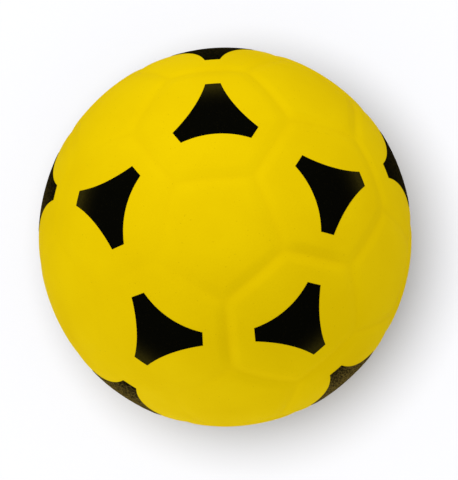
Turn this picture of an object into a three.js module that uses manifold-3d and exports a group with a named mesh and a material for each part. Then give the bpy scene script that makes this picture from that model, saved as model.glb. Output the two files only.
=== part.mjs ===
// Sponge football: a moulded foam ball with a seamed yellow skin and printed black patches.
// Millimetres, +Z up. The origin is the middle of the face that the ball rests on.

import * as THREE from 'three';
import { mergeVertices } from 'three/addons/utils/BufferGeometryUtils.js';
import Module from 'manifold-3d';

// Ball and skin
const BALL_DIAMETER = 200;
const SKIN_WALL = 1.5; // skin left under the seams
const REST_FACE_DIAMETER = 24; // where the soft ball settles under its own weight

// Moulded seams, between twelve pentagon panels and twenty hexagon panels
const SEAM_WIDTH = 12; // between the soft shoulders of two panels
const SEAM_DEPTH = 0.6;

// Printed patches, measured along the skin
const PATCH_WAIST = 12.25; // from the middle of a patch to the middle of a hollow side
const PATCH_ARM = 10.95; // how much further a corner reaches
const PATCH_CORNER_WIDTH = 8;
const PATCH_THICKNESS = 0.4;

// How far the print lies off the mould's panels, in degrees about X, Y and Z
const PRINT_TURN = [-0.21, 1.07, -1.08];

// Clearance between bonded pieces, and between the two skins at the parting line
const BOND_GAP = 0.3;

// Facets along a panel's side, on the seamed skin and on the layers under it
const SKIN_STEPS = 4;
const INNER_STEPS = 3;

// Facets of a patch, from its middle to its rim and along a hollow side
const PATCH_RINGS = 2;
const PATCH_SIDE_STEPS = 6;

// Section of a seam: share of its half width, and share of its depth there
const SEAM_SECTION = [[0, 1], [0.3, 0.78], [0.7, 0.22], [1, 0]];
const NO_SEAM = [[0, 0]];

// Points closer than this are one corner of a mesh
const WELD = 1e-6;

// Finishes
const FOAM = { color: 0xe9c95a, roughness: 0.95, metalness: 0 };
const YELLOW_COAT = { color: 0xecc902, roughness: 0.75, metalness: 0 };
const BLACK_INK = { color: 0x070702, roughness: 0.55, metalness: 0 };

const BALL_RADIUS = BALL_DIAMETER / 2;
const SKIN_THICKNESS = SEAM_DEPTH + SKIN_WALL;
const PATCH_REACH = PATCH_WAIST + PATCH_ARM;
const CENTRE_HEIGHT = Math.sqrt(BALL_RADIUS ** 2 - (REST_FACE_DIAMETER / 2) ** 2);

const wasm = await Module();
wasm.setup();

// A closed surface as a solid that can be cut and joined.
function solid(geometry) {
  const bare = new THREE.BufferGeometry();
  bare.setAttribute('position', geometry.getAttribute('position'));
  bare.setIndex(geometry.getIndex());
  const welded = mergeVertices(bare);
  return new wasm.Manifold(new wasm.Mesh({
    numProp: 3,
    vertProperties: welded.getAttribute('position').array,
    triVerts: new Uint32Array(welded.getIndex().array),
  }));
}

function surface(positions, corners) {
  const geometry = new THREE.BufferGeometry();
  geometry.setAttribute('position', new THREE.Float32BufferAttribute(positions, 3));
  geometry.setIndex([...corners]);
  geometry.computeVertexNormals();
  return geometry;
}

function surfaceOf(body) {
  const { vertProperties, triVerts } = body.getMesh();
  return surface(vertProperties, triVerts);
}

// The part of a solid between two heights.
function between(body, low, high) {
  const slab = new THREE.BoxGeometry(2 * BALL_DIAMETER, 2 * BALL_DIAMETER, high - low);
  slab.translate(0, 0, (low + high) / 2);
  return body.intersect(solid(slab));
}

// Collects triangles and shares their corners, however often a point is asked for.
class Shell {
  constructor() {
    this.positions = [];
    this.corners = [];
    this.places = new Map();
  }

  corner(point) {
    const place = point.toArray().map((value) => Math.round(value / WELD)).join();
    if (!this.places.has(place)) {
      this.places.set(place, this.places.size);
      this.positions.push(...point.toArray());
    }
    return this.places.get(place);
  }

  // A strip between two rows of corners, where the second row may have one corner fewer.
  strip(row, next) {
    for (let i = 0; i + 1 < row.length; i += 1) {
      this.corners.push(row[i], row[i + 1], next[i]);
      if (i + 1 < next.length) {
        this.corners.push(row[i + 1], next[i + 1], next[i]);
      }
    }
  }

  geometry() {
    return surface(this.positions, this.corners);
  }
}

// Panel net: pentagons sit on the corners of an icosahedron, hexagons on its faces.
const RING_COUNT = 5; // pentagons in a ring, and hexagons too
const RING_STEP = (2 * Math.PI) / RING_COUNT;
const RING_LATITUDE = Math.atan(1 / 2);
const FIRST_AZIMUTH = Math.PI / 2 - RING_STEP / 2; // puts a hexagon towards +Y

function pentagonRing(latitude, azimuth) {
  return Array.from({ length: RING_COUNT }, (_, k) => new THREE.Vector3(
    Math.cos(latitude) * Math.cos(azimuth + k * RING_STEP),
    Math.cos(latitude) * Math.sin(azimuth + k * RING_STEP),
    Math.sin(latitude),
  ));
}

const topCentre = new THREE.Vector3(0, 0, 1);
const bottomCentre = new THREE.Vector3(0, 0, -1);
const upperCentres = pentagonRing(RING_LATITUDE, FIRST_AZIMUTH);
const lowerCentres = pentagonRing(-RING_LATITUDE, FIRST_AZIMUTH + RING_STEP / 2);
const pentagonCentres = [topCentre, ...upperCentres, ...lowerCentres, bottomCentre];

// Each hexagon lies between three pentagons, named anticlockwise as seen from outside.
const hexagonRings = { top: [], upper: [], lower: [], bottom: [] };
for (let k = 0; k < RING_COUNT; k += 1) {
  const next = (k + 1) % RING_COUNT;
  hexagonRings.top.push([topCentre, upperCentres[k], upperCentres[next]]);
  hexagonRings.upper.push([upperCentres[k], lowerCentres[k], upperCentres[next]]);
  hexagonRings.lower.push([lowerCentres[k], lowerCentres[next], upperCentres[next]]);
  hexagonRings.bottom.push([bottomCentre, lowerCentres[next], lowerCentres[k]]);
}

// The panel corner on the line from one pentagon's middle to the next, a third of the way along.
function panelCorner(from, to) {
  return from.clone().lerp(to, 1 / 3).normalize();
}

// The pentagons round one pentagon, anticlockwise as seen from outside.
function neighbours(centre) {
  const others = pentagonCentres.filter((other) => other !== centre);
  others.sort((a, b) => a.distanceTo(centre) - b.distanceTo(centre));
  const nearest = others.slice(0, RING_COUNT);
  const ahead = new THREE.Vector3().crossVectors(centre, nearest[0]).normalize();
  const aside = new THREE.Vector3().crossVectors(ahead, centre);
  const turn = (point) => Math.atan2(point.dot(ahead), point.dot(aside));
  return nearest.sort((a, b) => turn(a) - turn(b));
}

function pentagonPanel(centre) {
  return neighbours(centre).map((other) => panelCorner(centre, other));
}

function hexagonPanel([a, b, c]) {
  return [[a, b], [b, a], [b, c], [c, b], [c, a], [a, c]].map(([from, to]) => panelCorner(from, to));
}

const panels = [
  ...pentagonCentres.map(pentagonPanel),
  ...Object.values(hexagonRings).flat().map(hexagonPanel),
];

function average(points) {
  const sum = points.reduce((total, point) => total.add(point), new THREE.Vector3());
  return sum.divideScalar(points.length);
}

// The facets between one side of a panel and its middle. The first rows follow the section of the
// seam, and each row after them has one facet fewer, down to the middle of the panel.
function addPanelSide(shell, start, end, middle, radius, steps, section) {
  const apothem = average([start, end]).distanceTo(middle) * radius;
  const inset = (across) => (across * SEAM_WIDTH) / 2 / apothem;
  const row = (facets, inwards, dip) => Array.from({ length: facets + 1 }, (_, i) => {
    const along = facets ? i / facets : 0;
    const point = start.clone().lerp(end, along).lerp(middle, inwards);
    return shell.corner(point.setLength(radius - dip));
  });
  const rows = section.map(([across, down]) => row(steps, inset(across), down * SEAM_DEPTH));
  const [shoulder] = section.at(-1);
  for (let i = 1; i <= steps; i += 1) {
    const inwards = THREE.MathUtils.lerp(inset(shoulder), 1, i / steps);
    rows.push(row(steps - i, inwards, 0));
  }
  rows.slice(1).forEach((next, i) => shell.strip(rows[i], next));
}

function panelledBall(radius, steps, section) {
  const shell = new Shell();
  for (const panel of panels) {
    const middle = average(panel);
    panel.forEach((start, side) => {
      const end = panel[(side + 1) % panel.length];
      addPanelSide(shell, start, end, middle, radius, steps, section);
    });
  }
  return solid(shell.geometry());
}

// A layer of the ball at some depth under its surface, settled flat towards the floor.
function layer(depth, steps, section) {
  const round = panelledBall(BALL_RADIUS - depth, steps, section);
  return between(round, depth - CENTRE_HEIGHT, BALL_DIAMETER);
}

// Skin: the seamed ball with room for the core, parted at its middle.
const skin = layer(0, SKIN_STEPS, SEAM_SECTION).subtract(layer(SKIN_THICKNESS, INNER_STEPS, NO_SEAM));
const upperSkin = between(skin, BOND_GAP / 2, BALL_DIAMETER);
const lowerSkin = between(skin, -BALL_DIAMETER, -BOND_GAP / 2);

// Core: fills the skin all round.
const core = layer(SKIN_THICKNESS + BOND_GAP, INNER_STEPS, NO_SEAM);

// Flat outline of a patch: three hollow sides, whose ends are joined by three blunt corners.
// The first corner is towards +Y.
function patchOutline() {
  const origin = new THREE.Vector2();
  const third = (2 * Math.PI) / 3;
  const sides = [0, 1, 2].map((k) => {
    const turned = (x, y, turns) => new THREE.Vector2(x, y).rotateAround(origin, turns * third);
    const from = turned(-PATCH_CORNER_WIDTH / 2, PATCH_REACH, k);
    const to = turned(PATCH_CORNER_WIDTH / 2, PATCH_REACH, k + 1);
    const outwards = turned(0, 1, k + 1 / 2);
    const distance = (from.lengthSq() - PATCH_WAIST ** 2) / (2 * (from.dot(outwards) - PATCH_WAIST));
    const centre = outwards.multiplyScalar(distance);
    const start = from.clone().sub(centre);
    const end = to.clone().sub(centre);
    const hollow = distance > PATCH_WAIST;
    const arc = new THREE.ArcCurve(centre.x, centre.y, start.length(), start.angle(), end.angle(), hollow);
    return arc.getPoints(PATCH_SIDE_STEPS);
  });
  return sides.flat();
}

// The direction of a point of the flat print once it lies on the ball, with its middle on +Z.
function laidOnBall(flat) {
  const tilt = flat.length() / BALL_RADIUS;
  const level = flat.clone().setLength(Math.sin(tilt));
  return new THREE.Vector3(level.x, level.y, Math.cos(tilt));
}

// A film of ink round the ball's middle. The middle of a facet dips below its corners,
// so the corners stand high enough for the lowest facet to clear the skin.
function patchGeometry() {
  const outline = patchOutline();
  const count = outline.length;
  const directions = [new THREE.Vector3(0, 0, 1)];
  const facets = [];
  for (let ring = 1; ring <= PATCH_RINGS; ring += 1) {
    const first = directions.length;
    outline.forEach((point, i) => {
      const here = first + i;
      const next = first + ((i + 1) % count);
      directions.push(laidOnBall(point.clone().multiplyScalar(ring / PATCH_RINGS)));
      if (ring === 1) {
        facets.push([0, here, next]);
      } else {
        facets.push([here, next, next - count], [here, next - count, here - count]);
      }
    });
  }
  const depths = facets.map((facet) => {
    const triangle = new THREE.Triangle(...facet.map((i) => directions[i]));
    return triangle.closestPointToPoint(new THREE.Vector3(), new THREE.Vector3()).length();
  });
  const underside = (BALL_RADIUS + BOND_GAP) / Math.min(...depths);
  const layers = [underside, underside + PATCH_THICKNESS];
  const positions = layers.flatMap((radius) => (
    directions.flatMap((direction) => direction.clone().multiplyScalar(radius).toArray())
  ));
  const top = directions.length;
  const corners = facets.flatMap(([a, b, c]) => [c, b, a, a + top, b + top, c + top]);
  const rim = top - count;
  for (let i = 0; i < count; i += 1) {
    const here = rim + i;
    const next = rim + ((i + 1) % count);
    corners.push(here, next, next + top, here, next + top, here + top);
  }
  return surface(positions, corners);
}

// Turns a patch from +Z to its hexagon, with its first corner towards the side between a and b.
function patchTurn([a, b, c]) {
  const out = average([a, b, c]).normalize();
  const up = average([a, b]).projectOnPlane(out).normalize();
  const across = new THREE.Vector3().crossVectors(up, out);
  return new THREE.Quaternion().setFromRotationMatrix(new THREE.Matrix4().makeBasis(across, up, out));
}

function piece(name, geometry, finish) {
  const mesh = new THREE.Mesh(geometry, new THREE.MeshStandardMaterial(finish));
  mesh.name = name;
  return mesh;
}

const printed = new THREE.Group();
printed.rotation.set(...PRINT_TURN.map(THREE.MathUtils.degToRad));
const patch = patchGeometry();
for (const [ring, hexagons] of Object.entries(hexagonRings)) {
  hexagons.forEach((hexagon, k) => {
    const mesh = piece(`patch_${ring}_${k + 1}`, patch, BLACK_INK);
    mesh.quaternion.copy(patchTurn(hexagon));
    printed.add(mesh);
  });
}

const ball = new THREE.Group();
ball.position.z = CENTRE_HEIGHT;
ball.add(
  piece('foam_core', surfaceOf(core), FOAM),
  piece('skin_upper', surfaceOf(upperSkin), YELLOW_COAT),
  piece('skin_lower', surfaceOf(lowerSkin), YELLOW_COAT),
  printed,
);

export default ball;
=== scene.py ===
"""Looks of a sponge football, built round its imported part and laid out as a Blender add-on."""

import math
import bmesh
import bpy
from bpy.props import FloatProperty, FloatVectorProperty, IntProperty, PointerProperty
from mathutils import Euler, Matrix, Vector


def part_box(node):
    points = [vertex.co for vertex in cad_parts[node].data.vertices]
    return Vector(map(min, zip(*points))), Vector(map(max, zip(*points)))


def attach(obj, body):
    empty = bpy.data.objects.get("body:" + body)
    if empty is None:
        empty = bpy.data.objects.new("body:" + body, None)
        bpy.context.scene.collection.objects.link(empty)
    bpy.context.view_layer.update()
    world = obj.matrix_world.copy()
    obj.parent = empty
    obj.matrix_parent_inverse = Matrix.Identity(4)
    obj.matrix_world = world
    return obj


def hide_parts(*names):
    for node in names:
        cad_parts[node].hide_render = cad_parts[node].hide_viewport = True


bl_info = {
    "name": "Sponge Ball",
    "version": (1, 0, 0),
    "blender": (4, 5, 0),
    "location": "View3D > Sidebar > Sponge Ball",
    "description": "A moulded foam football with a seamed yellow skin and printed black patches",
    "category": "Object",
}

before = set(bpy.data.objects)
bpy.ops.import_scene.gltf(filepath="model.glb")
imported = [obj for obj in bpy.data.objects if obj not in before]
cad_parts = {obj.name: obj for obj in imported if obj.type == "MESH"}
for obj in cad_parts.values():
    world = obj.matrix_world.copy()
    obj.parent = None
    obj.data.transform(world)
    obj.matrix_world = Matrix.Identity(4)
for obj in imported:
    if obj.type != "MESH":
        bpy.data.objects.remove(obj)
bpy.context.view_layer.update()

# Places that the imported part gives
UPPER_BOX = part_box("skin_upper")
LOWER_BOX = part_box("skin_lower")
CORE_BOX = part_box("foam_core")
CENTRE_HEIGHT = (UPPER_BOX[0].z + LOWER_BOX[1].z) / 2
BALL_RADIUS = UPPER_BOX[1].z - CENTRE_HEIGHT
CORE_RADIUS = CORE_BOX[1].z - CENTRE_HEIGHT
PATCH_NODES = sorted(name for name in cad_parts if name.startswith("patch_"))

# Panel net: pentagons on the corners of an icosahedron, hexagons on its faces
RING_COUNT = 5
RING_STEP = 2 * math.pi / RING_COUNT
RING_LATITUDE = math.atan(0.5)
FIRST_AZIMUTH = math.pi / 2 - RING_STEP / 2

# Corners of the panelled ball of radius one that are nearer than this are one
WELD = 1e-4

# Section of a seam: shares of its half width from the crease outwards, and of its depth there
SEAM_SECTION = ((0, 1), (0.1, 0.95), (0.2, 0.845), (0.4, 0.59), (0.6, 0.32), (0.8, 0.1), (1, 0))

# Share of a seam's half width along its crease that gets painted shade
CREASE_REACH = 0.4

# Where the seams' depth changes, as cosines of the turn from a panel's middle
PROUD_RUN = (0.8, 0.92)
PENTAGON_RUN = (0.895, 0.933)
FAINT_RUN = (0.5, 0.66)

# Soft lumps of the moulded foam: the noise's scale on a ball of radius one, and its detail
LUMP_SCALE = 2.6
LUMP_DETAIL = 1

# Rows of corners by the parting line, as shares of its width, and how near a cut a corner is on it
PARTING_ROWS = (0.16, 0.33, 0.5, 0.9)
CUT_MARGIN = 1e-6

# Divisions of the core's round, and the distances from a cell's middle between which it closes
CORE_DIVISIONS = 7
CELL_RUN = (0.1, 0.6)

# Rings of the ink's film as shares of its outline, and its soft edge: metres inside the outline, and the
# share of the film's thickness there
FILM_RINGS = (0.2, 0.4, 0.58, 0.74, 0.87)
FILM_EDGE = ((0.0006, 1.0), (0.0003, 0.9), (0.0001, 0.6), (0.0, 0.15))

# Faces across a patch's blunt corner, and the turn from one corner to the next
BLUNT_STEPS = 4
THIRD_TURN = math.radians(120)

# Edges that turn more than this stay sharp
SKIN_SHARP = math.radians(45)
SOFT_SHARP = math.radians(60)

# Photograph that the camera frames: its size and how far left of and above its middle the ball lies, in
# pixels, the way back to the camera, the picture's upright, the lens and its sensor in millimetres, and
# how far the camera sees in metres
PHOTO_SIZE = (458, 480)
BALL_LEFT = 3.7
BALL_ABOVE = 2.7
CAMERA_BACK = Vector((0.0354, -0.021, 0.9992))
CAMERA_UP = Vector((0.0843, 0.9963, 0.0179))
FOCAL_LENGTH = 253.3
SENSOR_WIDTH = 36
CLIP_END = 100

# Lamps by the names of their brightness: turn from the picture's right and height in degrees, width in
# metres, and whether the floor takes or misses the light
LAMPS = (
    ("key", 116, 37, 1.6, "EXCLUDE"),
    ("fill", -117, -17, 1.2, "EXCLUDE"),
    ("side", -3, -17, 1.2, "EXCLUDE"),
    ("floor_light", 146, 85, 2.9, "INCLUDE"),
)

# Surfaces: their index of refraction, the bump's depth and the fine relief's size in metres, where none
# is given, and what the mottling's noise gives nearly everywhere
SURFACE_IOR = 1.45
BUMP_DEPTH = 0.0002
PEEL_SIZE = 0.0012
MOTTLE_RUN = (0.3, 0.7)


def setting(kind, **fixed):
    """A maker of settings of one kind, each with a name, a description, a default and its own limits."""

    def make(name, description, default, **limits):
        return kind(name=name, description=description, default=default, **fixed, **limits)

    return make


# Lengths in metres, angles, shares of a whole, brightness, plain linear colours and whole numbers
length = setting(FloatProperty, min=0, precision=5, unit="LENGTH")
angle = setting(FloatProperty, subtype="ANGLE")
share = setting(FloatProperty, min=0, max=1, subtype="FACTOR")
strength = setting(FloatProperty, min=0)
colour = setting(FloatVectorProperty, min=0, max=1, size=3, subtype="COLOR")
whole = setting(IntProperty)


class SpongeBallShape(bpy.types.PropertyGroup):
    """How round the moulded ball is, shared by the skin, the core and the print."""

    radius: length("Ball radius", "Radius of the panels", BALL_RADIUS)
    centre_height: length("Centre height", "Height of the ball's middle above the floor", CENTRE_HEIGHT)
    ovality: share("Ovality", "How much longer than round it is one way, and shorter across", 0.0083)
    oval_azimuth: angle("Oval direction", "Where the ball is longest, turned from +X", math.radians(81))
    unevenness: length("Unevenness", "Greatest height of the moulded foam's soft lumps", 0.00025)
    settle: length("Settle", "How softly the rest face runs into the round of the ball", 0.0006)


class SpongeBallSkin(bpy.types.PropertyGroup):
    """The seamed yellow skin."""

    thickness: length("Skin thickness", "Wall of the skin", 0.0015)
    seam_width: length("Seam width", "Width of a pressed seam between its shoulders", 0.013)
    pentagon_depth: length("Pentagon seam depth", "Depth of the seams round the pentagons", 0.0008)
    hexagon_depth: length("Hexagon seam depth", "Depth of the seams between hexagons", 0.0006)
    proud_depth: length("Proud seam depth", "Depth of the seams round the proud panel", 0.00135)
    proud_panel: whole("Proud panel", "Which hexagon panel stands out most", 3, min=0, max=19)
    faint_panel: whole("Faint panel", "Which pentagon panel has the faintest seams", 3, min=0, max=11)
    faint_share: share("Faint share", "How much of a seam's depth is left round the faint panel", 0.3)
    crease_shade: share("Crease shade", "How far the coat turns to deep yellow along a crease", 0.25)
    seam_corner: length("Seam corner", "How softly a panel's corners are rounded", 0.0009)
    seam_rows: whole("Seam rows", "Rows of faces over half a seam", 12, min=3)
    panel_steps: whole("Panel steps", "Faces along a panel's side", 14, min=3)
    parting_width: length("Parting width", "Width of the mould's parting line", 0.0009)
    parting_depth: length("Parting depth", "Depth of the mould's parting line", 0.00012)
    parting_gap: length("Parting gap", "Gap between the two skins", 0.00004)
    yellow: colour("Yellow", "Colour of the coat", (0.80, 0.569, 0.0))
    # Deep yellow also gives the painted shade along the seams' creases and the parting line
    deep_yellow: colour("Deep yellow", "Colour of the coat where it lies thicker", (0.74, 0.51, 0.0))


class SpongeBallPrint(bpy.types.PropertyGroup):
    """The printed black patches."""

    waist: length("Waist", "From the middle of a patch to the middle of a hollow side", 0.01225)
    arm: length("Arm", "How much further a corner reaches", 0.01095)
    corner_width: length("Corner width", "Width of a blunt corner", 0.008)
    film: length("Film", "Thickness of the ink", 0.00012)
    lift: length("Lift", "Gap under the ink", 0.00006)
    register: FloatVectorProperty(
        name="Register",
        description="How far the print lies off the mould's panels",
        default=[math.radians(turn) for turn in (-0.21, 1.07, -1.08)],
        subtype="EULER",
    )
    top_turns: FloatVectorProperty(
        name="Top turns",
        description="How far each patch of the top ring is turned in its place",
        default=[math.radians(turn) for turn in (0.3, 0.9, -2, 1, 0)],
        size=RING_COUNT,
        unit="ROTATION",
    )
    side_steps: whole("Side steps", "Faces along a hollow side", 24, min=4)
    ink: colour("Ink", "Colour of the full ink", (0.0018, 0.0018, 0.0009))
    # Thinned ink where the coat shows through, which also gives the painted sheen towards the rim
    thin_ink_and_sheen: colour("Thin ink", "Colour where the coat shows through the ink", (0.119, 0.084, 0.019))
    # Painted sheen on the outer corners of the patches
    sheen_ink: colour("Worn ink", "Colour of the corners that wear most", (0.024, 0.0195, 0.003))


class SpongeBallCore(bpy.types.PropertyGroup):
    """The foam inside the skin."""

    radius: length("Core radius", "Radius of the foam core", CORE_RADIUS)
    cell: length("Cell", "Size of the foam's cells", 0.0016)
    cell_depth: length("Cell depth", "How far the cells are open at the surface", 0.0004)
    seed: whole("Seed", "Start of the cells' random places", 7)
    foam: colour("Foam", "Colour of the foam", (0.78, 0.58, 0.16))


class SpongeBallStage(bpy.types.PropertyGroup):
    """Floor, light and camera."""

    floor_size: length("Floor size", "Half the side of the floor", 9.0)
    floor: colour("Floor", "Colour of the floor as the ball sees it", (0.13, 0.13, 0.13))
    shown_floor: colour("Shown floor", "Colour of the floor in the picture", (0.358, 0.361, 0.377))
    sky: strength("Sky", "Brightness of the even light", 0.81)
    key: strength("Key", "Brightness that the key lamp gives", 0.4)
    fill: strength("Fill", "Brightness that the low fill lamp gives", 0.37)
    side: strength("Side", "Brightness that the low side lamp gives", 0.15)
    floor_light: strength("Floor light", "Brightness that the floor's own lamp gives", 2.2)
    lamp_distance: length("Lamp distance", "From the ball to a lamp that lights it", 2.2)
    floor_light_distance: length("Floor light distance", "From the ball to the floor's own lamp", 6.0)
    camera_distance: length("Camera distance", "From the ball's middle to the camera", 1.8)


class SpongeBallSettings(bpy.types.PropertyGroup):
    """All sizes and colours of the sponge ball."""

    shape: PointerProperty(type=SpongeBallShape)
    skin: PointerProperty(type=SpongeBallSkin)
    patches: PointerProperty(type=SpongeBallPrint)
    core: PointerProperty(type=SpongeBallCore)
    stage: PointerProperty(type=SpongeBallStage)


def turned_way(azimuth, elevation):
    """A direction of length one."""
    level = math.cos(elevation)
    return Vector((level * math.cos(azimuth), level * math.sin(azimuth), math.sin(elevation)))


def pentagon_ring(latitude, azimuth):
    """Five pentagon middles at one height."""
    return [turned_way(azimuth + k * RING_STEP, latitude) for k in range(RING_COUNT)]


TOP_MIDDLE = Vector((0, 0, 1))
BOTTOM_MIDDLE = Vector((0, 0, -1))
UPPER_MIDDLES = pentagon_ring(RING_LATITUDE, FIRST_AZIMUTH)
LOWER_MIDDLES = pentagon_ring(-RING_LATITUDE, FIRST_AZIMUTH + RING_STEP / 2)
PENTAGON_MIDDLES = [TOP_MIDDLE, *UPPER_MIDDLES, *LOWER_MIDDLES, BOTTOM_MIDDLE]


def hexagon_triples():
    """The three pentagon middles round each hexagon, anticlockwise as seen from outside."""
    rings = [[], [], [], []]
    for k in range(RING_COUNT):
        after = (k + 1) % RING_COUNT
        rings[0].append((TOP_MIDDLE, UPPER_MIDDLES[k], UPPER_MIDDLES[after]))
        rings[1].append((UPPER_MIDDLES[k], LOWER_MIDDLES[k], UPPER_MIDDLES[after]))
        rings[2].append((LOWER_MIDDLES[k], LOWER_MIDDLES[after], UPPER_MIDDLES[after]))
        rings[3].append((BOTTOM_MIDDLE, LOWER_MIDDLES[after], LOWER_MIDDLES[k]))
    return [triple for ring in rings for triple in ring]


def panel_corner(start, end):
    """The panel corner a third of the way from one pentagon's middle to the next."""
    return start.lerp(end, 1 / 3).normalized()


def pentagon_panel(middle):
    """Corners of a pentagon panel, anticlockwise as seen from outside."""
    others = [other for other in PENTAGON_MIDDLES if other is not middle]
    nearest = sorted(others, key=lambda other: (other - middle).length)[:RING_COUNT]
    ahead = middle.cross(nearest[0]).normalized()
    aside = ahead.cross(middle)
    nearest.sort(key=lambda other: math.atan2(other.dot(ahead), other.dot(aside)))
    return [panel_corner(middle, other) for other in nearest]


def hexagon_panel(triple):
    """Corners of a hexagon panel, anticlockwise as seen from outside."""
    a, b, c = triple
    pairs = ((a, b), (b, a), (b, c), (c, b), (c, a), (a, c))
    return [panel_corner(start, end) for start, end in pairs]


def middle_of(points):
    """The mean of some points."""
    return sum(points, Vector((0, 0, 0))) / len(points)


class PanelledBall:
    """A ball of radius one whose rows of faces run along the seams of its panels."""

    def __init__(self, seam_reach, seam_rows, steps, softness):
        self.points = []
        self.faces = []
        self.insets = []
        self.softness = softness
        panels = [pentagon_panel(middle) for middle in PENTAGON_MIDDLES]
        panels += [hexagon_panel(triple) for triple in hexagon_triples()]
        for panel in panels:
            middle = middle_of(panel)
            ends = panel[1:] + panel[:1]
            sides = [start.cross(end).normalized() for start, end in zip(panel, ends)]
            for start, end in zip(panel, ends):
                self.add_side(start, end, middle, sides, seam_reach, seam_rows, steps)

    def corner(self, point, sides):
        """Adds a corner, with its distance from the seams, and gives its number."""
        direction = point.normalized()
        self.points.append(direction)
        self.insets.append(self.inset(direction, sides))
        return len(self.points) - 1

    def inset(self, direction, sides):
        """Distance from the seams round a panel, rounded off in its corners."""
        crowd = 0
        for side in sides:
            crowd += math.exp(-math.asin(direction.dot(side)) / self.softness)
        return max(0, -self.softness * math.log(crowd))

    def add_side(self, start, end, middle, sides, seam_reach, seam_rows, steps):
        """Faces between one side of a panel and its middle."""
        apothem = ((start + end) / 2 - middle).length
        shoulder = seam_reach / apothem
        levels = [(steps, shoulder * row / seam_rows) for row in range(seam_rows + 1)]
        for step in range(1, steps + 1):
            levels.append((steps - step, shoulder + (1 - shoulder) * step / steps))
        rows = []
        for count, inwards in levels:
            row = []
            for i in range(count + 1):
                along = i / count if count else 0
                point = start.lerp(end, along).lerp(middle, inwards)
                row.append(self.corner(point, sides))
            rows.append(row)
        for row, after in zip(rows, rows[1:]):
            self.add_strip(row, after)

    def add_strip(self, row, after):
        """Faces between two rows, where the second may have one corner fewer."""
        for i in range(len(row) - 1):
            if len(after) == len(row):
                self.faces.append((row[i], row[i + 1], after[i + 1], after[i]))
            else:
                self.faces.append((row[i], row[i + 1], after[i]))
                if i + 1 < len(after):
                    self.faces.append((row[i + 1], after[i + 1], after[i]))

    def mesh(self, name):
        """The ball as a mesh that knows how near each corner is to a seam and to a pentagon's middle."""
        mesh = bpy.data.meshes.new(name)
        mesh.from_pydata(self.points, [], self.faces)
        hubs = [max(point.dot(middle) for middle in PENTAGON_MIDDLES) for point in self.points]
        for attribute, values in (("inset", self.insets), ("hub", hubs)):
            mesh.attributes.new(attribute, "FLOAT", "POINT").data.foreach_set("value", values)
        welded = bmesh.new()
        welded.from_mesh(mesh)
        bmesh.ops.remove_doubles(welded, verts=welded.verts, dist=WELD)
        if not all(edge.is_manifold for edge in welded.edges):
            raise RuntimeError(f"{name} isn't closed")
        welded.to_mesh(mesh)
        welded.free()
        return mesh


def panelled_mesh(shape, skin):
    """The panelled ball with rows of faces along the skin's seams."""
    reach = skin.seam_width / 2 / shape.radius
    softness = skin.seam_corner / shape.radius
    return PanelledBall(reach, skin.seam_rows, skin.panel_steps, softness).mesh("panelled_ball")


def add_node(tree, kind, inputs=None, **settings):
    """Adds a node, with values or links for its inputs, and gives its outputs."""
    node = tree.nodes.new(kind)
    for name, value in settings.items():
        setattr(node, name, value)
    for socket, value in (inputs or {}).items():
        if isinstance(value, bpy.types.NodeSocket):
            tree.links.new(value, node.inputs[socket])
        else:
            node.inputs[socket].default_value = value
    return node.outputs


def math_node(tree, operation, first, second=0.0, third=0.0):
    """One step of arithmetic."""
    inputs = {0: first, 1: second, 2: third}
    return add_node(tree, "ShaderNodeMath", inputs, operation=operation)[0]


def times(tree, product, *others):
    """Values multiplied with each other."""
    for other in others:
        product = math_node(tree, "MULTIPLY", product, other)
    return product


def plus(tree, total, *others):
    """Values added to each other."""
    for other in others:
        total = math_node(tree, "ADD", total, other)
    return total


def vector_node(tree, operation, inputs, output="Vector"):
    """One step of vector arithmetic."""
    return add_node(tree, "ShaderNodeVectorMath", inputs, operation=operation)[output]


def direction_node(tree, place):
    """The way to a place from the ball's middle."""
    return vector_node(tree, "NORMALIZE", {0: place})


def dot_node(tree, first, second):
    """How much two directions agree, which is one where they are the same."""
    return vector_node(tree, "DOT_PRODUCT", {0: first, 1: second}, "Value")


def axes_node(tree, vector):
    """A vector's three numbers."""
    return add_node(tree, "ShaderNodeSeparateXYZ", {0: vector})


def noise_node(tree, place, scale, detail):
    """Soft noise."""
    inputs = {"Vector": place, "Scale": scale, "Detail": detail}
    return add_node(tree, "ShaderNodeTexNoise", inputs)[0]


def map_range(tree, value, old, new, kind="LINEAR"):
    """A value moved from one range to another and kept inside it."""
    inputs = dict(enumerate((value, *old, *new)))
    return add_node(tree, "ShaderNodeMapRange", inputs, interpolation_type=kind)[0]


def smooth_range(tree, value, old, new):
    """A value moved from one range to another, with soft ends."""
    return map_range(tree, value, old, new, "SMOOTHSTEP")


def mix_colours(tree, factor, first, second):
    """One colour run into another, where a plain colour has three numbers."""
    inputs = {0: factor}
    for socket, value in ((6, first), (7, second)):
        inputs[socket] = value if isinstance(value, bpy.types.NodeSocket) else (*value, 1)
    return add_node(tree, "ShaderNodeMix", inputs, data_type="RGBA")[2]


def new_tree(name, inputs, outputs, kind="GeometryNodeTree"):
    """A node group with named inputs and outputs: what it gets, and what it has to give."""
    tree = bpy.data.node_groups.new(name, kind)
    for in_out, sockets in (("INPUT", inputs), ("OUTPUT", outputs)):
        for socket, socket_type in sockets.items():
            tree.interface.new_socket(socket, in_out=in_out, socket_type=socket_type)
    return tree, tree.nodes.new("NodeGroupInput").outputs, tree.nodes.new("NodeGroupOutput").inputs


def shared_tree(name, build):
    """The node group of a name, which is built when it is first asked for."""
    return bpy.data.node_groups.get(name) or build(name)


FLOAT = "NodeSocketFloat"
INTEGER = "NodeSocketInt"
VECTOR = "NodeSocketVector"
GEOMETRY = "NodeSocketGeometry"
MATERIAL = "NodeSocketMaterial"
OBJECT = "NodeSocketObject"

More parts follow.
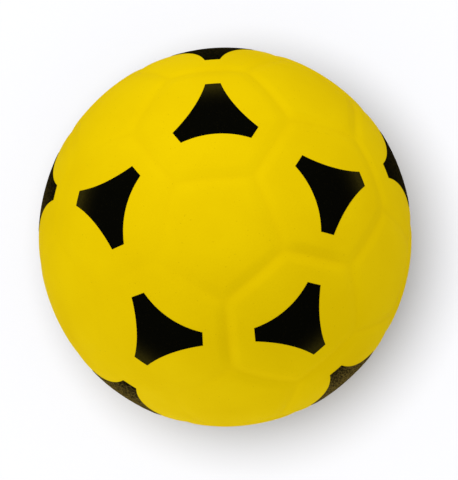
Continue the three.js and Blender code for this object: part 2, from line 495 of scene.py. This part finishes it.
# Inputs of the node groups, each named as the setting that it takes
SHAPE_SIZES = ("Radius", "Centre Height", "Ovality", "Oval Azimuth", "Unevenness", "Settle")
SEAM_SIZES = ("Seam Width", "Pentagon Depth", "Hexagon Depth", "Proud Depth", "Faint Share")
PARTING_SIZES = ("Parting Width", "Parting Depth")
CELL_SIZES = ("Cell", "Cell Depth")
SHAPE_INPUTS = dict.fromkeys(SHAPE_SIZES, FLOAT)
SEAM_INPUTS = {**dict.fromkeys(SEAM_SIZES, FLOAT), "Proud Panel": VECTOR, "Faint Panel": VECTOR}


def sizes_of(group, names):
    """A group's settings by the names of the inputs that take them."""
    return {name: getattr(group, name.lower().replace(" ", "_")) for name in names}


def seam_values(skin):
    """The seams' sizes and the panels that differ, by the names of the inputs that take them."""
    proud = middle_of(hexagon_triples()[skin.proud_panel]).normalized()
    faint = PENTAGON_MIDDLES[skin.faint_panel]
    return {**sizes_of(skin, SEAM_SIZES), "Proud Panel": proud, "Faint Panel": faint}


def moulded_place(name):
    """A point of the ball pushed in or out, made a little oval and lumpy, and settled on the floor."""
    inputs = {"Direction": VECTOR, "Height": FLOAT, **SHAPE_INPUTS}
    tree, got, given = new_tree(name, inputs, {"Place": VECTOR})
    axes = axes_node(tree, got["Direction"])
    azimuth = math_node(tree, "ARCTAN2", axes["Y"], axes["X"])
    turned = math_node(tree, "SUBTRACT", azimuth, got["Oval Azimuth"])
    wave = math_node(tree, "COSINE", times(tree, turned, 2))
    level = math_node(tree, "SUBTRACT", 1, math_node(tree, "POWER", axes["Z"], 2))
    oval = times(tree, wave, level, got["Ovality"], got["Radius"])
    noise = noise_node(tree, got["Direction"], LUMP_SCALE, LUMP_DETAIL)
    lump = math_node(tree, "SUBTRACT", times(tree, noise, 2), 1)
    lump = times(tree, lump, got["Unevenness"])
    reach = plus(tree, got["Radius"], got["Height"], plus(tree, oval, lump))
    point = vector_node(tree, "SCALE", {0: got["Direction"], "Scale": reach})
    axes = axes_node(tree, point)
    raised = plus(tree, axes["Z"], got["Centre Height"])
    settled = math_node(tree, "SMOOTH_MAX", raised, 0, got["Settle"])
    place = add_node(tree, "ShaderNodeCombineXYZ", {0: axes["X"], 1: axes["Y"], 2: settled})
    tree.links.new(place[0], given["Place"])
    return tree


def place_node(tree, got, direction, height):
    """The moulded place of a direction, with the tree's own shape inputs."""
    inputs = {"Direction": direction, "Height": height}
    inputs.update((name, got[name]) for name in SHAPE_INPUTS)
    group = shared_tree("Moulded Place", moulded_place)
    return add_node(tree, "GeometryNodeGroup", inputs, node_tree=group)["Place"]


def pressed_seam(name):
    """Depth in a seam, deepest round the proud panel and near its crease, and the crease's painted
    shade.
    """
    inputs = {"Direction": VECTOR, "Inset": FLOAT, "Hub": FLOAT, "Radius": FLOAT, **SEAM_INPUTS}
    tree, got, given = new_tree(name, inputs, {"Depth": FLOAT, "Crease": FLOAT})
    inset = times(tree, got["Inset"], got["Radius"])
    half = math_node(tree, "DIVIDE", got["Seam Width"], 2)
    across = map_range(tree, inset, (0, half), (0, 1))
    section = add_node(tree, "ShaderNodeFloatCurve", {"Value": across})[0]
    mapping = section.node.mapping
    points = mapping.curves[0].points
    points[0].location = SEAM_SECTION[0]
    points[1].location = SEAM_SECTION[-1]
    for part, sunk in SEAM_SECTION[1:-1]:
        points.new(part, sunk)
    mapping.update()
    near = dot_node(tree, got["Direction"], got["Proud Panel"])
    depth = smooth_range(tree, near, PROUD_RUN, (got["Hexagon Depth"], got["Proud Depth"]))
    depth = smooth_range(tree, got["Hub"], PENTAGON_RUN, (depth, got["Pentagon Depth"]))
    near = dot_node(tree, got["Direction"], got["Faint Panel"])
    left = smooth_range(tree, near, FAINT_RUN, (1, got["Faint Share"]))
    pressed = times(tree, section, times(tree, depth, left))
    crease = smooth_range(tree, across, (0, CREASE_REACH), (1, 0))
    tree.links.new(pressed, given["Depth"])
    tree.links.new(times(tree, crease, left), given["Crease"])
    return tree


def seam_node(tree, got, direction, inset, hub):
    """The seam's depth and its crease at a direction, with the tree's own seam inputs."""
    inputs = {"Direction": direction, "Inset": inset, "Hub": hub, "Radius": got["Radius"]}
    inputs.update((name, got[name]) for name in SEAM_INPUTS)
    group = shared_tree("Pressed Seam", pressed_seam)
    return add_node(tree, "GeometryNodeGroup", inputs, node_tree=group)


def named_value(tree, name, kind="FLOAT"):
    """What the mesh keeps at each corner under a name."""
    return add_node(tree, "GeometryNodeInputNamedAttribute", {"Name": name}, data_type=kind)[0]


def position_node(tree):
    """Where each corner is."""
    return add_node(tree, "GeometryNodeInputPosition")[0]


def object_node(tree, source):
    """The mesh of another object, as it is."""
    node = add_node(tree, "GeometryNodeObjectInfo", {"Object": source}, transform_space="ORIGINAL")
    return node["Geometry"]


def finish_tree(tree, given, geometry, place, material):
    """Ends a tree: corners at their places, smooth faces, real geometry and its material."""
    moved = add_node(tree, "GeometryNodeSetPosition", {"Geometry": geometry, "Position": place})
    smooth = add_node(tree, "GeometryNodeSetShadeSmooth", {"Geometry": moved[0]})
    real = add_node(tree, "GeometryNodeRealizeInstances", {"Geometry": smooth[0]})
    painted = add_node(tree, "GeometryNodeSetMaterial", {"Geometry": real[0], "Material": material})
    tree.links.new(painted[0], given["Geometry"])
    return tree


def skin_tree():
    """Presses the seams and the parting line into a panelled ball, and marks their painted shade."""
    inputs = {"Geometry": GEOMETRY, **SHAPE_INPUTS, **SEAM_INPUTS}
    inputs |= {**dict.fromkeys(PARTING_SIZES, FLOAT), "Material": MATERIAL}
    tree, got, given = new_tree("Pressed Skin", inputs, {"Geometry": GEOMETRY})
    direction = direction_node(tree, position_node(tree))
    seam = seam_node(tree, got, direction, named_value(tree, "inset"), named_value(tree, "hub"))
    height = math_node(tree, "ABSOLUTE", axes_node(tree, direction)["Z"])
    height = times(tree, height, got["Radius"])
    half_line = math_node(tree, "DIVIDE", got["Parting Width"], 2)
    line = smooth_range(tree, height, (0, half_line), (1, 0))
    parted = times(tree, line, got["Parting Depth"])
    sunk = times(tree, plus(tree, seam["Depth"], parted), -1)
    place = place_node(tree, got, direction, sunk)
    # Painted shade for the coat, along the seams' creases and the parting line
    shade = math_node(tree, "MAXIMUM", seam["Crease"], line)
    inputs = {"Geometry": got["Geometry"], "Name": "seam", "Value": shade}
    marked = add_node(tree, "GeometryNodeStoreNamedAttribute", inputs, data_type="FLOAT", domain="POINT")
    return finish_tree(tree, given, marked[0], place, got["Material"])


def patches_tree():
    """Lays one patch of ink on each hexagon panel."""
    inputs = {"Geometry": GEOMETRY, "Patch": OBJECT, **SHAPE_INPUTS, "Material": MATERIAL}
    tree, got, given = new_tree("Printed Patches", inputs, {"Geometry": GEOMETRY})
    facing, pointing = (named_value(tree, name, "FLOAT_VECTOR") for name in ("facing", "pointing"))
    ways = {0: facing, 1: pointing}
    turn = add_node(tree, "FunctionNodeAxesToRotation", ways, primary_axis="Z", secondary_axis="Y")
    patch = object_node(tree, got["Patch"])
    inputs = {"Points": got["Geometry"], "Instance": patch, "Rotation": turn[0]}
    laid = add_node(tree, "GeometryNodeInstanceOnPoints", inputs)
    real = add_node(tree, "GeometryNodeRealizeInstances", {"Geometry": laid[0]})
    position = position_node(tree)
    distance = vector_node(tree, "LENGTH", {0: position}, "Value")
    height = math_node(tree, "SUBTRACT", distance, got["Radius"])
    place = place_node(tree, got, direction_node(tree, position), height)
    return finish_tree(tree, given, real[0], place, got["Material"])


def core_tree():
    """A round of foam with the skin's seams in it, whose cells are open at its surface."""
    inputs = {"Geometry": GEOMETRY, "Panels": OBJECT, **SHAPE_INPUTS, **SEAM_INPUTS, "Floor Gap": FLOAT}
    inputs |= {**dict.fromkeys(CELL_SIZES, FLOAT), "Seed": INTEGER, "Material": MATERIAL}
    tree, got, given = new_tree("Foam Core", inputs, {"Geometry": GEOMETRY})
    ball = add_node(tree, "GeometryNodeMeshIcoSphere", {"Radius": 1, "Subdivisions": CORE_DIVISIONS})
    direction = direction_node(tree, position_node(tree))
    scale = math_node(tree, "DIVIDE", got["Radius"], got["Cell"])
    inputs = {"Vector": direction, "W": got["Seed"], "Scale": scale}
    cells = add_node(tree, "ShaderNodeTexVoronoi", inputs, voronoi_dimensions="4D")
    open_cell = smooth_range(tree, cells["Distance"], CELL_RUN, (1, 0))
    pitted = times(tree, open_cell, got["Cell Depth"])
    panels = object_node(tree, got["Panels"])
    found = []
    for name in ("inset", "hub"):
        inputs = {"Mesh": panels, "Value": named_value(tree, name), "Sample Position": direction}
        sample = add_node(tree, "GeometryNodeSampleNearestSurface", inputs, data_type="FLOAT")
        found.append(sample[0])
    pressed = seam_node(tree, got, direction, *found)["Depth"]
    sunk = times(tree, plus(tree, pitted, pressed), -1)
    place = place_node(tree, got, direction, sunk)
    lift = add_node(tree, "ShaderNodeCombineXYZ", {2: got["Floor Gap"]})[0]
    place = vector_node(tree, "ADD", {0: place, 1: lift})
    return finish_tree(tree, given, ball[0], place, got["Material"])


def run_tree(piece, tree, values):
    """Puts a tree on a piece with its inputs set by their identifiers."""
    modifier = piece.modifiers.new(tree.name, "NODES")
    modifier.node_group = tree
    for item in tree.interface.items_tree:
        if item.in_out == "INPUT" and item.name in values:
            modifier[item.identifier] = values[item.name]


def make_plain(piece, sharp):
    """Turns a piece with modifiers into a plain mesh."""
    graph = bpy.context.evaluated_depsgraph_get()
    graph.update()
    mesh = bpy.data.meshes.new_from_object(piece.evaluated_get(graph), depsgraph=graph)
    mesh.name = piece.name
    piece.modifiers.clear()
    piece.data = mesh
    mesh.shade_smooth()
    mesh.set_sharp_from_angle(angle=sharp)
    if not mesh.polygons:
        raise RuntimeError(f"{piece.name} has no faces")


def new_piece(name, data):
    """An object at the origin, in the scene."""
    piece = bpy.data.objects.new(name, data)
    bpy.context.scene.collection.objects.link(piece)
    return piece


def foam_grain(name):
    """Mottling, pores and fine relief of moulded foam, shared by the coat, the ink and the foam."""
    mottle_detail = 3
    peel_detail = 2
    pore_floor = 0.45
    pore_relief = 0.8
    sizes = ("Mottle Size", "Pore Spacing", "Pore Size", "Peel Size")
    inputs = {"Vector": VECTOR, **dict.fromkeys(sizes, FLOAT)}
    outputs = dict.fromkeys(("Mottle", "Pores", "Height"), FLOAT)
    tree, got, given = new_tree(name, inputs, outputs, "ShaderNodeTree")
    place = got["Vector"]
    mottle = noise_node(tree, place, math_node(tree, "DIVIDE", 1, got["Mottle Size"]), mottle_detail)
    pore_scale = math_node(tree, "DIVIDE", 1, got["Pore Spacing"])
    cells = add_node(tree, "ShaderNodeTexVoronoi", {"Vector": place, "Scale": pore_scale})
    chance = add_node(tree, "ShaderNodeSeparateColor", {0: cells["Color"]})[0]
    reach = times(tree, got["Pore Size"], chance)
    edge = times(tree, reach, pore_floor)
    pores = smooth_range(tree, cells["Distance"], (edge, reach), (1, 0))
    peel = noise_node(tree, place, math_node(tree, "DIVIDE", 1, got["Peel Size"]), peel_detail)
    height = math_node(tree, "SUBTRACT", peel, times(tree, pores, pore_relief))
    for socket, value in (("Mottle", mottle), ("Pores", pores), ("Height", height)):
        tree.links.new(value, given[socket])
    return tree


def new_surface(name, sizes, gloss, bump, bump_depth=BUMP_DEPTH):
    """A material with a grain and a bump, its tree, its places and what the grain gives."""
    material = bpy.data.materials.new(name)
    material.use_nodes = True
    tree = material.node_tree
    shader = tree.nodes["Principled BSDF"]
    for socket, value in (("Specular IOR Level", gloss), ("IOR", SURFACE_IOR), ("Metallic", 0)):
        shader.inputs[socket].default_value = value
    place = add_node(tree, "ShaderNodeTexCoord")["Object"]
    inputs = {"Vector": place, "Peel Size": PEEL_SIZE, **sizes}
    grain = add_node(tree, "ShaderNodeGroup", inputs, node_tree=shared_tree("Foam Grain", foam_grain))
    inputs = {"Strength": bump, "Distance": bump_depth, "Height": grain["Height"]}
    tree.links.new(add_node(tree, "ShaderNodeBump", inputs)[0], shader.inputs["Normal"])
    return material, tree, place, grain


def paint(tree, tone, rough):
    """Gives a surface's shader its colour and its roughness."""
    shader = tree.nodes["Principled BSDF"]
    tree.links.new(tone, shader.inputs["Base Color"])
    tree.links.new(rough, shader.inputs["Roughness"])


def darker(tint, part):
    """A share of a plain colour."""
    return [value * part for value in tint]


def yellow_coat(skin):
    """The yellow coat: soft mottling, painted shade along creases and the parting line, and fine pores.
    """
    deep_run = (0.35, 0.75)
    deep_share = 0.6
    pore_tint = 0.6
    pore_share = 0.35
    roughness = (0.66, 0.78)
    sizes = {"Mottle Size": 0.03, "Pore Spacing": 0.0026, "Pore Size": 0.16}
    material, tree, _, grain = new_surface("yellow_coat", sizes, gloss=0.012, bump=0.22)
    tone = map_range(tree, grain["Mottle"], deep_run, (0, deep_share))
    body = mix_colours(tree, tone, skin.yellow, skin.deep_yellow)
    # Painted shade: the coat turns towards deep yellow along the seams' creases and the parting line
    seam = add_node(tree, "ShaderNodeAttribute", attribute_name="seam")["Fac"]
    crease_shaded = mix_colours(tree, times(tree, seam, skin.crease_shade), body, skin.deep_yellow)
    pits = times(tree, grain["Pores"], pore_share)
    pitted = mix_colours(tree, pits, crease_shaded, darker(skin.deep_yellow, pore_tint))
    paint(tree, pitted, map_range(tree, grain["Mottle"], MOTTLE_RUN, roughness))
    return material


def print_turn(patches):
    """How the whole print is turned off the mould's panels."""
    return Euler(patches.register, "ZYX").to_matrix()


def black_ink(shape, patches):
    """Black ink: full on top, painted sheen on outer corners; thinned, speckled, painted sheen down one
    side.
    """
    # Cosines of the turn from the top where a change starts and is complete, the power by which the
    # painted sheen at the corners fades, and how far the low ink thins and takes painted sheen
    corner_run = (0.8, 0.66)
    corner_fall = 4
    ring_run = (0.48, 0.54)
    low_run = (0.47, 0.08)
    most_low = 1.1

    # The side where the ink is thinned and takes painted sheen, and how much from the other side to this
    # one
    thin_and_sheen_side = (-0.3, -1, 0)
    side_run = (-0.25, 0.5)
    side_shares = (0.09, 1.05)

    # The grain's noise, how it breaks up the thinned ink and the corners' painted sheen, and pinholes
    # all over
    speckle_run = (0.38, 0.64)
    most_speckle = 2
    corner_speckle = (0.8, 1.2)
    pinhole = 0.015

    roughness = (0.48, 0.62)
    sizes = {"Mottle Size": 0.0011, "Pore Spacing": 0.0013, "Pore Size": 0.5, "Peel Size": 0.0008}
    material, tree, place, grain = new_surface("black_ink", sizes, gloss=0, bump=0.2)
    middle = (0, 0, shape.centre_height)
    direction = direction_node(tree, vector_node(tree, "SUBTRACT", {0: place, 1: middle}))
    steep = math_node(tree, "ABSOLUTE", axes_node(tree, direction)["Z"])
    upright = dot_node(tree, direction, print_turn(patches) @ TOP_MIDDLE)
    upright = math_node(tree, "ABSOLUTE", upright)
    # Painted sheen on the outer corners of the top and bottom patches, broken up by the grain
    corners = math_node(tree, "POWER", map_range(tree, upright, corner_run, (0, 1)), corner_fall)
    corners = times(tree, corners, map_range(tree, steep, ring_run, (0, 1)))
    corners = times(tree, corners, map_range(tree, grain["Mottle"], speckle_run, corner_speckle))
    # Thinned ink where the coat shows through, with painted sheen growing towards the rim on one side
    side = smooth_range(tree, dot_node(tree, direction, thin_and_sheen_side), side_run, side_shares)
    low = map_range(tree, steep, low_run, (0, most_low))
    speckle = map_range(tree, grain["Mottle"], speckle_run, (0, most_speckle))
    thin_and_sheen = times(tree, side, low, speckle)
    pinholes = times(tree, grain["Pores"], plus(tree, thin_and_sheen, pinhole))
    tone = mix_colours(tree, plus(tree, thin_and_sheen, pinholes), patches.ink, patches.thin_ink_and_sheen)
    tone = mix_colours(tree, corners, tone, patches.sheen_ink)
    paint(tree, tone, map_range(tree, grain["Mottle"], MOTTLE_RUN, roughness))
    return material


def open_foam(core):
    """The bare foam of the core."""
    mottle_tint = 0.85
    pore_tint = 0.45
    roughness = (0.85, 0.98)
    sizes = {"Mottle Size": 0.012, "Pore Spacing": core.cell, "Pore Size": 0.6}
    material, tree, _, grain = new_surface("open_foam", sizes, gloss=0.1, bump=0.5, bump_depth=0.0005)
    tone = map_range(tree, grain["Mottle"], MOTTLE_RUN, (0, 1))
    body = mix_colours(tree, tone, core.foam, darker(core.foam, mottle_tint))
    pitted = mix_colours(tree, grain["Pores"], body, darker(core.foam, pore_tint))
    paint(tree, pitted, map_range(tree, grain["Pores"], (0, 1), roughness))
    return material


def cut_half(mesh, name, gap, lines, way):
    """The upper or lower half of the panelled ball, with rows of corners by the parting line."""
    cut = bmesh.new()
    cut.from_mesh(mesh)
    for height in (gap, *lines):
        bmesh.ops.bisect_plane(
            cut,
            geom=[*cut.verts, *cut.edges, *cut.faces],
            dist=CUT_MARGIN,
            plane_co=(0, 0, way * height),
            plane_no=(0, 0, way),
            clear_inner=height == gap,
        )
    half = bpy.data.meshes.new(name)
    cut.to_mesh(half)
    cut.free()
    return half


class SPONGE_BALL_OT_skin(bpy.types.Operator):
    """Make the two seamed yellow skins that meet at the parting line."""

    bl_idname = "sponge_ball.skin"
    bl_label = "Seamed Skins"

    def execute(self, context):
        settings = context.scene.sponge_ball
        shape = settings.shape
        skin = settings.skin
        ball = panelled_mesh(shape, skin)
        tree = skin_tree()
        values = {**sizes_of(shape, SHAPE_SIZES), **seam_values(skin), **sizes_of(skin, PARTING_SIZES)}
        values["Material"] = yellow_coat(skin)
        gap = skin.parting_gap / 2 / shape.radius
        lines = [skin.parting_width * part / shape.radius for part in PARTING_ROWS]
        for name, node, way in (("upper_skin", "skin_upper", 1), ("lower_skin", "skin_lower", -1)):
            piece = new_piece(name, cut_half(ball, name, gap, lines, way))
            run_tree(piece, tree, values)
            wall = piece.modifiers.new("Wall", "SOLIDIFY")
            wall.thickness = skin.thickness
            wall.offset = -1
            make_plain(piece, SKIN_SHARP)
            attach(piece, "root")
            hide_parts(node)
        bpy.data.meshes.remove(ball)
        return {"FINISHED"}


class SPONGE_BALL_OT_core(bpy.types.Operator):
    """Make the foam core that fills the skins."""

    bl_idname = "sponge_ball.core"
    bl_label = "Foam Core"

    def execute(self, context):
        settings = context.scene.sponge_ball
        shape = settings.shape
        core = settings.core
        floor_gap = CORE_BOX[0].z
        panels = new_piece("panelled_ball", panelled_mesh(shape, settings.skin))
        piece = new_piece("sponge_core", bpy.data.meshes.new("sponge_core"))
        values = {**sizes_of(shape, SHAPE_SIZES), **seam_values(settings.skin)}
        values |= sizes_of(core, ("Radius", *CELL_SIZES, "Seed"))
        values["Centre Height"] = shape.centre_height - floor_gap
        values["Floor Gap"] = floor_gap
        values["Panels"] = panels
        values["Material"] = open_foam(core)
        run_tree(piece, core_tree(), values)
        make_plain(piece, SOFT_SHARP)
        bpy.data.objects.remove(panels)
        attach(piece, "root")
        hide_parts("foam_core")
        return {"FINISHED"}


def hollow_side(patches, turn):
    """Points along one hollow side of the flat patch, from corner to corner."""
    reach = patches.waist + patches.arm
    end = Vector((patches.corner_width / 2, reach))
    spread = THIRD_TURN / 2
    outwards = Vector((math.sin(spread), math.cos(spread)))
    far = (end.length_squared - patches.waist**2) / (2 * (end.dot(outwards) - patches.waist))
    bend = far - patches.waist
    sweep = math.asin(outwards.cross(end) / bend)
    points = []
    for i in range(patches.side_steps + 1):
        swept = sweep * (1 - 2 * i / patches.side_steps)
        away = far - bend * math.cos(swept)
        aside = bend * math.sin(swept)
        point = outwards * away + Vector((-outwards.y, outwards.x)) * aside
        points.append(Matrix.Rotation(turn, 2) @ point)
    return points


def patch_outline(patches):
    """The flat outline of a patch, with its first corner towards +Y."""
    outline = []
    for k in range(3):
        side = hollow_side(patches, -k * THIRD_TURN)
        outline += side
        blunt_end = hollow_side(patches, -(k + 1) * THIRD_TURN)[0]
        outline += [side[-1].lerp(blunt_end, part / BLUNT_STEPS) for part in range(1, BLUNT_STEPS)]
    outline.reverse()
    return outline


def patch_mesh(shape, patches):
    """A film of ink round the ball's middle, with its own middle on +Z and a soft edge."""
    outline = patch_outline(patches)
    count = len(outline)
    middle = Vector((0, 0))
    points = []
    faces = []

    def laid(flat, height):
        tilt = flat.length / shape.radius
        level = flat.normalized() * math.sin(tilt) if flat.length else middle
        return Vector((level.x, level.y, math.cos(tilt))) * (shape.radius + height)

    def add_side(rings, way):
        """Adds one side of the film, from its middle out, and gives where its last ring starts."""
        hub = len(points)
        points.append(laid(middle, rings[0][2]))
        for ring, (edge, part, height) in enumerate(rings):
            first = len(points)
            for i, corner in enumerate(outline):
                points.append(laid(corner * part * (1 - edge / corner.length), height))
                here = first + i
                after = first + (i + 1) % count
                face = (here - count, here, after, after - count) if ring else (hub, here, after)
                faces.append((face[0], *face[1:][::way]))
        return first

    top = [(0, part, patches.lift + patches.film) for part in FILM_RINGS]
    top += [(edge, 1, patches.lift + patches.film * full) for edge, full in FILM_EDGE]
    rim = add_side(top, 1)
    last = add_side([(0, part, patches.lift) for part in (*FILM_RINGS, 1)], -1)
    for i in range(count):
        after = (i + 1) % count
        faces.append((rim + after, rim + i, last + i, last + after))
    mesh = bpy.data.meshes.new("patch_film")
    mesh.from_pydata(points, [], faces)
    return mesh


class SPONGE_BALL_OT_patches(bpy.types.Operator):
    """Print a black patch on each hexagon panel."""

    bl_idname = "sponge_ball.patches"
    bl_label = "Printed Patches"

    def execute(self, context):
        settings = context.scene.sponge_ball
        shape = settings.shape
        patches = settings.patches
        film = new_piece("patch_film", patch_mesh(shape, patches))
        turn = print_turn(patches)
        triples = hexagon_triples()
        ways = {"facing": [], "pointing": []}
        for number, (a, b, c) in enumerate(triples):
            out = middle_of([a, b, c]).normalized()
            towards = middle_of([a, b])
            towards = (towards - out * towards.dot(out)).normalized()
            if number < RING_COUNT:
                towards.rotate(Matrix.Rotation(patches.top_turns[number], 3, out))
            ways["facing"].extend(turn @ out)
            ways["pointing"].extend(turn @ towards)
        places = bpy.data.meshes.new("patch_places")
        places.from_pydata([(0, 0, 0)] * len(triples), [], [])
        for name, values in ways.items():
            places.attributes.new(name, "FLOAT_VECTOR", "POINT").data.foreach_set("vector", values)
        piece = new_piece("printed_patches", places)
        values = sizes_of(shape, SHAPE_SIZES)
        values["Patch"] = film
        values["Material"] = black_ink(shape, patches)
        run_tree(piece, patches_tree(), values)
        make_plain(piece, SOFT_SHARP)
        bpy.data.objects.remove(film)
        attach(piece, "root")
        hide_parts(*PATCH_NODES)
        return {"FINISHED"}


def show_apart(owner, shader, light, shown, output):
    """Gives a floor or sky one shader for the light it throws and one for the rays that show it."""
    owner.use_nodes = True
    tree = owner.node_tree
    tree.nodes.clear()
    shaders = [add_node(tree, shader, inputs)[0] for inputs in (light, shown)]
    path = add_node(tree, "ShaderNodeLightPath")
    seen = math_node(tree, "MAXIMUM", path["Is Camera Ray"], path["Is Glossy Ray"])
    seen = math_node(tree, "MAXIMUM", seen, path["Is Transmission Ray"])
    mixed = add_node(tree, "ShaderNodeMixShader", {0: seen, 1: shaders[0], 2: shaders[1]})
    add_node(tree, output, {"Surface": mixed[0]})
    return owner


def pale_floor(stage):
    """A pale floor that shows white where it is fully lit and keeps the shadow."""
    material = bpy.data.materials.new("pale_floor")
    light = {"Color": (*stage.floor, 1)}
    shown = {"Color": (*stage.shown_floor, 1)}
    return show_apart(material, "ShaderNodeBsdfDiffuse", light, shown, "ShaderNodeOutputMaterial")


def even_sky(stage):
    """An even sky that lights the ball plainly and shows white behind it."""
    world = bpy.data.worlds.new("even_sky")
    white = (1, 1, 1, 1)
    light = {"Color": white, "Strength": stage.sky}
    shown = {"Color": white, "Strength": 1}
    return show_apart(world, "ShaderNodeBackground", light, shown, "ShaderNodeOutputWorld")


def lay_floor(stage):
    """The pale floor under the ball."""
    size = stage.floor_size
    mesh = bpy.data.meshes.new("floor")
    corners = [(-size, -size, 0), (size, -size, 0), (size, size, 0), (-size, size, 0)]
    mesh.from_pydata(corners, [], [(0, 1, 2, 3)])
    mesh.materials.append(pale_floor(stage))
    return new_piece("floor", mesh)


def aim_camera(stage, middle):
    """A camera nearly straight above, with its picture turned a little, and the picture's right."""
    back = CAMERA_BACK.normalized()
    up = (CAMERA_UP - back * CAMERA_UP.dot(back)).normalized()
    right = up.cross(back)
    lens = bpy.data.cameras.new("camera")
    lens.sensor_width = SENSOR_WIDTH
    lens.lens = FOCAL_LENGTH
    lens.clip_end = CLIP_END
    pixel = stage.camera_distance * lens.sensor_width / lens.lens / max(PHOTO_SIZE)
    place = middle + back * stage.camera_distance
    place = place + right * (BALL_LEFT * pixel) - up * (BALL_ABOVE * pixel)
    camera = new_piece("camera", lens)
    camera.matrix_world = Matrix.Translation(place) @ Matrix((right, up, back)).transposed().to_4x4()
    return camera, right


def soft_lamp(name, middle, towards, distance, size, brightness):
    """A round lamp that faces the ball from some way off."""
    lamp = bpy.data.lights.new(name, "AREA")
    lamp.shape = "DISK"
    lamp.size = size
    lamp.energy = brightness * math.pi**2 * distance**2
    holder = new_piece(name, lamp)
    holder.location = middle + towards * distance
    holder.rotation_euler = towards.to_track_quat("Z", "Y").to_euler()
    return holder


def hang_lamps(stage, middle, right, floor):
    """A soft key from the picture's upper left, two low lamps through the floor, and the floor's own."""
    across = math.atan2(right.y, right.x)
    for name, azimuth, elevation, size, floor_state in LAMPS:
        floor_only = floor_state == "INCLUDE"
        distance = stage.floor_light_distance if floor_only else stage.lamp_distance
        towards = turned_way(across + math.radians(azimuth), math.radians(elevation))
        lamp = soft_lamp(name, middle, towards, distance, size, getattr(stage, name))
        receivers = bpy.data.collections.new(name + "_receivers")
        receivers.objects.link(floor)
        receivers.collection_objects[0].light_linking.link_state = floor_state
        lamp.light_linking.receiver_collection = receivers
        if not floor_only:
            lamp.light_linking.blocker_collection = receivers


class SPONGE_BALL_OT_stage(bpy.types.Operator):
    """Set the floor, the soft light and the camera."""

    bl_idname = "sponge_ball.stage"
    bl_label = "Stage"

    def execute(self, context):
        scene = context.scene
        settings = scene.sponge_ball
        stage = settings.stage
        middle = Vector((0, 0, settings.shape.centre_height))
        floor = lay_floor(stage)
        scene.world = even_sky(stage)
        scene.camera, right = aim_camera(stage, middle)
        hang_lamps(stage, middle, right, floor)
        scene.view_settings.view_transform = "Standard"
        return {"FINISHED"}


class SPONGE_BALL_PT_panel(bpy.types.Panel):
    """Lists the steps that build the sponge ball, with their sizes and colours."""

    bl_label = "Sponge Ball"
    bl_idname = "SPONGE_BALL_PT_panel"
    bl_space_type = "VIEW_3D"
    bl_region_type = "UI"
    bl_category = "Sponge Ball"

    def draw(self, context):
        settings = context.scene.sponge_ball
        for group, step in (
            (settings.shape, None),
            (settings.skin, SPONGE_BALL_OT_skin),
            (settings.core, SPONGE_BALL_OT_core),
            (settings.patches, SPONGE_BALL_OT_patches),
            (settings.stage, SPONGE_BALL_OT_stage),
        ):
            box = self.layout.box()
            for name in group.__annotations__:
                box.prop(group, name)
            if step:
                box.operator(step.bl_idname)


CLASSES = (
    SpongeBallShape,
    SpongeBallSkin,
    SpongeBallPrint,
    SpongeBallCore,
    SpongeBallStage,
    SpongeBallSettings,
    SPONGE_BALL_OT_skin,
    SPONGE_BALL_OT_core,
    SPONGE_BALL_OT_patches,
    SPONGE_BALL_OT_stage,
    SPONGE_BALL_PT_panel,
)


def register():
    """Makes the settings, the steps and the panel known to Blender."""
    for cls in CLASSES:
        bpy.utils.register_class(cls)
    bpy.types.Scene.sponge_ball = PointerProperty(type=SpongeBallSettings)


def unregister():
    """Takes them out again."""
    del bpy.types.Scene.sponge_ball
    for cls in reversed(CLASSES):
        bpy.utils.unregister_class(cls)


def main():
    """Builds the stage and the ball."""
    register()
    bpy.ops.sponge_ball.stage()
    bpy.ops.sponge_ball.skin()
    bpy.ops.sponge_ball.core()
    bpy.ops.sponge_ball.patches()


if __name__ == "__main__":
    main()
